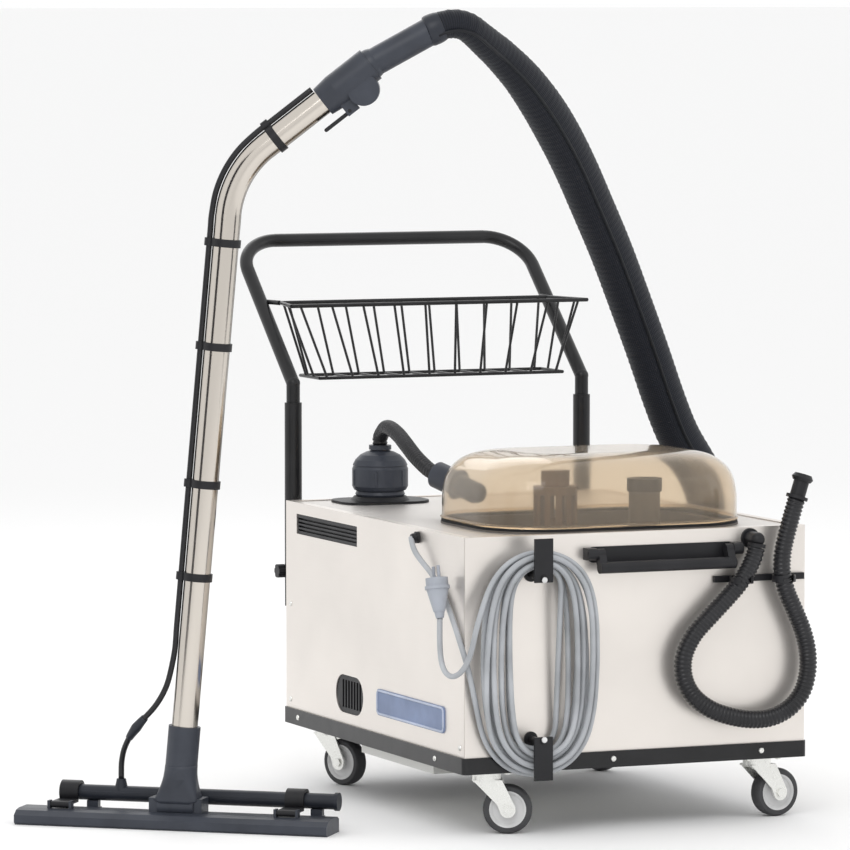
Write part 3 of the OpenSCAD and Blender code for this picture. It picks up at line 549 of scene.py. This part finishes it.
def card(name, middle, size, facing, color):
    """A flat sheet that only shows in reflections."""
    turn = facing.to_track_quat("Z", "Y").to_matrix().to_4x4()
    w, h = size[0] / 2, size[1] / 2
    corners = [turn @ Vector(c) + middle for c in ((-w, -h, 0), (w, -h, 0), (w, h, 0), (-w, h, 0))]
    obj = piece(name, corners, [(0, 1, 2, 3)], Shader(name, color, 1.0).material)
    obj.visible_camera = False
    obj.visible_diffuse = False
    obj.visible_shadow = False
    obj.visible_transmission = False


def add_studio():
    floor = piece(
        "floor",
        [(-300, -300, 0), (300, -300, 0), (300, 300, 0), (-300, 300, 0)],
        [(0, 1, 2, 3)],
        Shader("floor_paper", (0.93, 0.93, 0.93), 0.9).material,
    )
    world = bpy.data.worlds.new("studio")
    world.use_nodes = True
    world.node_tree.nodes["Background"].inputs["Color"].default_value = (1, 1, 1, 1)
    world.node_tree.nodes["Background"].inputs["Strength"].default_value = 1.0
    bpy.context.scene.world = world
    for name, place, size, power in (
        ("key", (-1.8, -3.2, 3.4), 2.2, 45),
        ("fill", (3.4, -2.6, 2.2), 2.6, 18),
        ("back", (0.5, 3.2, 3.2), 2.6, 25),
    ):
        data = bpy.data.lights.new(name, "AREA")
        data.size = size
        data.energy = power
        lamp = bpy.data.objects.new(name, data)
        lamp.location = place
        lamp.rotation_euler = (Vector((0, 0, 0.5)) - Vector(place)).to_track_quat("-Z", "Y").to_euler()
        bpy.context.scene.collection.objects.link(lamp)
    dark = (0.02, 0.02, 0.025)
    card("dark_card_left", Vector((-4.5, -1.6, 1.2)), (1.6, 4.5), Vector((1, 0.35, 0)), dark)
    card("dark_card_right", Vector((3.6, -3.6, 1.2)), (1.3, 4.5), Vector((-1, 1, 0)), dark)
    bpy.context.scene.view_settings.view_transform = "Standard"


# ---------- hoses and the mains lead ----------


def add_main_hose():
    """The suction hose in its woven sleeve: slim at the grip, wide below, with piping along it."""
    route = smooth([at(*p) for p in MAIN_ROUTE], 0.004)

    def radius(u, along):
        swell = min(1, (1 - u) / 0.34)
        ease = swell * swell * (3 - 2 * swell)
        foot = min(1, u / 0.05)
        return (21.5 + 12.5 * ease - 2.5 * (1 - foot)) * MM + 0.0005 * math.sin(2 * math.pi * along / 0.011)

    hose = tube_piece("suction_hose", route, radius, 40, SLEEVE)
    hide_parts("main_hose")
    pieces = [hose]
    total = length_of(route)
    for k, angle in enumerate((0.35, 0.35 + math.pi)):
        line, along = [], 0.0
        for i, (p, (_, m, n)) in enumerate(zip(route, frames(route))):
            along += (p - route[i - 1]).length if i else 0
            r = radius(along / total, along) + 0.0008
            line.append(p + r * (math.cos(angle) * m + math.sin(angle) * n))
        piping = tube_piece(f"hose_piping_{k + 1}", line[::2], lambda u, a: 0.0026, 8, PIPING)
        pieces.append(piping)
    for obj in pieces:
        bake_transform(obj)


def ribs(radius, depth, pitch):
    """A radius that swells and narrows in rounded rings."""

    def at_length(u, along):
        return radius * MM + depth * MM * (abs(math.sin(math.pi * along / pitch)) - 0.5)

    return at_length


def add_bridge_hose():
    route = smooth([at(*p) for p in BRIDGE_ROUTE], 0.0012)
    hose = tube_piece("bridge_tube", route, ribs(11.4, 1.8, 0.0055), 24, RIBBED, "dome_lid")
    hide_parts("bridge_hose")


def add_drain_hose():
    route = smooth([at(*p) for p in DRAIN_ROUTE], 0.0012)
    hose = tube_piece("drain_tube", route, ribs(12.9, 2.2, 0.0062), 28, RIBBED, "machine")
    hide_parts("drain_hose")


HANK_X = -173
TURNS = 4.5
PER_TURN = 26  # points laid down in one turn of the hank
REAR_LAYERS, FRONT_LAYERS = (-369.8, -377.9), (-386.4, -394.8)


def hank_point(turns, share, depth):
    """A point on the hank: share runs from 0, its outer turn, to 1, its inner turn."""
    half = 102 - 62 * share
    top = 434 - 24 * share - half
    low = 91 + 42 * share + half
    a = 2 * math.pi * (turns % 1) + math.pi
    x = HANK_X + half * math.cos(a)
    lean = math.sin(a)
    straight = (top - low) / 2
    z = (top + low) / 2 + half * lean + straight * math.tanh(2.6 * lean) / math.tanh(2.6)
    wander = 1.6 * math.sin(5.1 * turns + 2 * a)
    return at(x + wander, depth, z)


def hank_points():
    """Wound inwards against the panel, then outwards in front of that, a layer for each other turn."""
    points = []
    steps = int(TURNS * PER_TURN)
    for layers, inward in ((REAR_LAYERS, True), (FRONT_LAYERS, False)):
        # a few points are left out where one winding passes into the other, so the bend there is wide
        for k in range(0 if inward else 3, steps + (-2 if inward else 1)):
            turns = k / PER_TURN
            share = turns / TURNS if inward else 1 - (turns + 0.5) / (TURNS + 0.5)
            swing = 0.5 - 0.5 * math.cos(math.pi * min(1, max(0, (turns % 1 - 0.42) / 0.16)))
            which = (int(turns) + swing) % 2
            mix = which if which <= 1 else 2 - which
            depth = layers[0] + (layers[1] - layers[0]) * mix
            whole = turns if inward else turns + TURNS
            points.append(hank_point(whole, share, depth))
    return points


def add_mains_lead():
    """One cable: out of its gland, round the hank, and back to the plug."""
    route = [at(*p) for p in LEAD_ROUTE] + hank_points()[2:-2] + [at(*p) for p in TAIL_ROUTE]
    route = eased(route, EASE_STEP, EASE_PASSES)
    lead = tube_piece("mains_cable", route, lambda u, along: CABLE_R * MM, 12, CABLE, "machine")
    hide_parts("mains_lead", "mains_hank")


def add_steam_line():
    route = smooth(line_points(), 0.006)
    line = tube_piece("steam_tube", route, lambda u, along: LINE_R * MM, 14, RIBBED)
    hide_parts("steam_line")
    i = min(range(len(route)), key=lambda k: abs(route[k].z - 0.150))
    joint = [route[k] for k in range(i - 4, i + 5)]
    coupling = tube_piece("line_coupling", joint, lambda u, along: (8 - 2.2 * abs(2 * u - 1)) * MM, 20, SLATE_DARK)
    for obj in (line, coupling):
        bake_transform(obj)


# ---------- casters, dome and basket ----------


def add_wheels():
    """A grey hub with flanges, and a tyre with a rounded tread."""
    tyre = [(27, -11), (31, -12), (34.5, -11.5), (36.6, -9.4), (37.4, -6), (37.5, 0), (37.4, 6), (36.6, 9.4),
            (34.5, 11.5), (31, 12), (27, 11)]
    hub = [(4.1, -13.8), (9.5, -13.8), (10.5, -12.5), (11, -8), (15, -7), (23, -8), (26, -11), (28, -11.6),
           (28, 11.6), (26, 11), (23, 8), (15, 7), (11, 8), (10.5, 12.5), (9.5, 13.8), (4.1, 13.8)]
    for corner in CORNERS:
        joint = next(j for j in frame["joints"] if j["name"] == corner + "_spin")
        axis = Vector(joint["axis"])
        place = Matrix.Translation(Vector(joint["pos_m"])) @ axis.to_track_quat("Z", "Y").to_matrix().to_4x4()
        rubber = lathe(corner + "_tyre", tyre, place, TYRE, corner + "_wheel", 64)
        centre = lathe(corner + "_hub", hub, place, HUB, corner + "_wheel", 64)
        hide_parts(corner + "_wheel")


DOME_MIDDLE = (3, -180)
DOME_PROFILE = [
    (0, 0), (0.22, 0.3), (0.40, 1), (0.62, 6), (0.78, 16), (0.90, 32), (0.97, 54), (1, 84), (1.003, 118),
]


def add_dome():
    """A clear cover: upright walls that turn over into a nearly flat crown, on a rolled rim."""
    low, high = (Vector(c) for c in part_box("dome"))
    w, d = (high.x - low.x) / MM, (high.y - low.y) / MM
    height = (high.z - low.z) / MM - 0.6
    line = smooth([Vector((f * height, inset, 0)) for f, inset in DOME_PROFILE], 3)
    rings = []
    for p in line:
        f, inset = p.x, max(0.0, p.y)
        r = max(12, 106 - 0.7 * inset)
        outline = rounded_rect(w - 2 * inset, d - 2 * inset, min(r, d / 2 - inset - 1), 12)
        rings.append([at(DOME_MIDDLE[0] + x, DOME_MIDDLE[1] + y, low.z / MM + f) for x, y in outline])
    dome = loft("clear_dome", rings, AMBER, "dome_lid")
    shell = dome.modifiers.new("wall", "SOLIDIFY")
    shell.thickness = 2.6 * MM
    shell.offset = -1
    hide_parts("dome")
    rim = [at(DOME_MIDDLE[0] + x, DOME_MIDDLE[1] + y, low.z / MM + 3) for x, y in rounded_rect(w, d, 106, 12)]
    bead = closed_tube("dome_bead", rim, 2.4 * MM, AMBER, "dome_lid")


def closed_tube(name, loop, r, material, body, sides=10):
    """A tube round a closed loop."""
    n = len(loop)
    verts, faces = [], []
    for i in range(n):
        t = (loop[(i + 1) % n] - loop[i - 1]).normalized()
        m = Vector((0, 0, 1))
        m = (m - m.dot(t) * t)
        m = m.normalized() if m.length > 0.2 else t.orthogonal().normalized()
        side = t.cross(m)
        for k in range(sides):
            a = 2 * math.pi * k / sides
            verts.append(loop[i] + r * (math.cos(a) * m + math.sin(a) * side))
    for i in range(n):
        for k in range(sides):
            a, b = i * sides + k, i * sides + (k + 1) % sides
            c, e = ((i + 1) % n) * sides + (k + 1) % sides, ((i + 1) % n) * sides + k
            faces.append((a, b, c, e))
    return piece(name, verts, faces, material, body)


RIM = [(-262, 392), (262, 392), (238, 500), (-238, 500)]
FLOOR = [(-215, 386), (215, 386), (215, 470), (-215, 470)]
RIM_TOP, RIM_LOW = 765, 648
WIRE_R = 2.1
UPRIGHTS = 10


def add_basket():
    """A basket of black wire: two heavy loops, uprights between them and bars across the floor."""
    verts, faces = [], []

    def corner(ps, i, z):
        return at(*ps[i % 4], z)

    def mixed(a, b, t):
        return a + (b - a) * t

    def wire_share(k):
        return 0.03 + 0.94 * k / (UPRIGHTS - 1)

    for ps, z, r in ((RIM, RIM_TOP, 3.2), (FLOOR, RIM_LOW, 2.8)):
        for i in range(4):
            rod_mesh(verts, faces, corner(ps, i, z), corner(ps, i + 1, z), r * MM, 12)
    for i in (0, 2):
        for k in range(UPRIGHTS):
            t = wire_share(k)
            low = mixed(corner(FLOOR, i, RIM_LOW), corner(FLOOR, i + 1, RIM_LOW), t)
            high = mixed(corner(RIM, i, RIM_TOP), corner(RIM, i + 1, RIM_TOP), t)
            rod_mesh(verts, faces, low, high, WIRE_R * MM)
    for i in (1, 3):
        for t in (0.3, 0.7):
            low = mixed(corner(FLOOR, i, RIM_LOW), corner(FLOOR, i + 1, RIM_LOW), t)
            high = mixed(corner(RIM, i, RIM_TOP), corner(RIM, i + 1, RIM_TOP), t)
            rod_mesh(verts, faces, low, high, WIRE_R * MM)
    for k in range(1, UPRIGHTS - 1):
        t = wire_share(k)
        a = mixed(corner(FLOOR, 0, RIM_LOW), corner(FLOOR, 1, RIM_LOW), t)
        b = mixed(corner(FLOOR, 3, RIM_LOW), corner(FLOOR, 2, RIM_LOW), t)
        rod_mesh(verts, faces, a, b, WIRE_R * MM)
    for s in (-1, 1):
        rod_mesh(verts, faces, at(s * 240, 498, RIM_TOP), at(s * 248, 545, RIM_TOP), 4 * MM, 12)
    basket = piece("wire_basket", verts, faces, BLACK, "handle")
    crease(basket, 40)
    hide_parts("basket")


# ---------- small parts ----------


def add_screws():
    """Domed screw heads on the base, the panels and the hooks."""
    head = [(0.01, 2.4), (2.2, 2.2), (3.9, 1.4), (4.6, 0), (4.6, -0.6)]
    left = Matrix.Rotation(math.radians(-90), 4, "Y")
    front = Matrix.Rotation(math.radians(90), 4, "X")
    places = [((-288.4, y, 110), left) for y in (301, -254)]
    places += [((-285, y, z), left) for y in (340, -342) for z in (136, 290)]
    places += [((x, -363.4, 110), front) for x in (-40, 210)]
    for i, (p, turn) in enumerate(places):
        place = Matrix.Translation(at(*p)) @ turn
        screw = lathe(f"screw_{i + 1}", head, place, ZINC, "machine", 20)
    for i, z in enumerate((392, 151)):
        place = Matrix.Translation(at(-177, -412.4, z)) @ front
        body = "upper_hook" if z > 300 else "machine"
        screw = lathe(f"hook_screw_{i + 1}", head, place, HUB, body, 20)


def add_hose_collar():
    """A soft collar over the end of the hose, where it enters the cuff of the grip."""
    end, before = (at(*p) for p in (MAIN_ROUTE[-1], MAIN_ROUTE[-2]))
    axis = (end - before).normalized()
    place = Matrix.Translation(end) @ axis.to_track_quat("Z", "Y").to_matrix().to_4x4()
    profile = [(20, -12), (22.4, -11), (23.6, -6), (24.2, 0), (24.2, 8), (23, 12), (21, 13), (20, 13)]
    collar = lathe("hose_collar", profile, place, SLATE_DARK, "wand")


def add_neck_skirt():
    """The neck's moulded foot: wide across the tool's pivot, round at the tube's socket."""
    rings = []
    for k in range(13):
        u = k / 12
        ease = u * u * (3 - 2 * u)
        w, d = 56 + (50 - 56) * ease, 34 + (50 - 34) * ease
        r = min(w, d) / 2 * (0.35 + 0.64 * ease)
        wide = 1 + 0.35 * (1 - u) ** 3
        z = TILT_Z + 4 + 58 * u
        x0 = (z - TILT_Z) * math.tan(WAND_LEAN)
        ring = []
        for x, y in rounded_rect(w * wide if u else w, d, r, 8):
            point = Matrix.Rotation(TOOL_TURN * (1 - ease), 4, "Z") @ Vector((x, y, 0))
            ring.append(at_wand(point.x + x0, point.y, z))
        rings.append(ring)
    skirt = loft("neck_skirt", rings, SLATE, "wand", cap=False)
    shell = skirt.modifiers.new("wall", "SOLIDIFY")
    shell.thickness = 2 * MM


def add_badge_rim():
    """A pale raised edge round the blank badge."""
    low, high = (Vector(c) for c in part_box("badge_plate"))
    y, z = (low.y + high.y) / 2, (low.z + high.z) / 2
    loop = [
        Vector((low.x, y + b * MM, z + c * MM))
        for b, c in rounded_rect((high.y - low.y) / MM - 5, (high.z - low.z) / MM - 5, 7, 6)
    ]
    rim = closed_tube("badge_edge", loop, 1.8 * MM, BADGE_RIM, "machine", 8)


def add_tool_lips():
    """Two rows of short bristles under the floor tool."""
    verts, faces = [], []
    for y in (-34, 17):
        for k in range(62):
            x = -241 + 482 * k / 61
            rod_mesh(verts, faces, at_tool(x, y, 0.8), at_tool(x + 3, y, 11), 1.6 * MM, 6)
    lips = piece("tool_bristles", verts, faces, LIP, "tool", flat=True)


add_camera()
add_main_hose()
add_bridge_hose()
add_drain_hose()
add_mains_lead()
add_steam_line()
finish_cad_nodes()
add_studio()
add_wheels()
add_dome()
add_basket()
add_screws()
add_badge_rim()
add_hose_collar()
add_neck_skirt()
add_tool_lips()
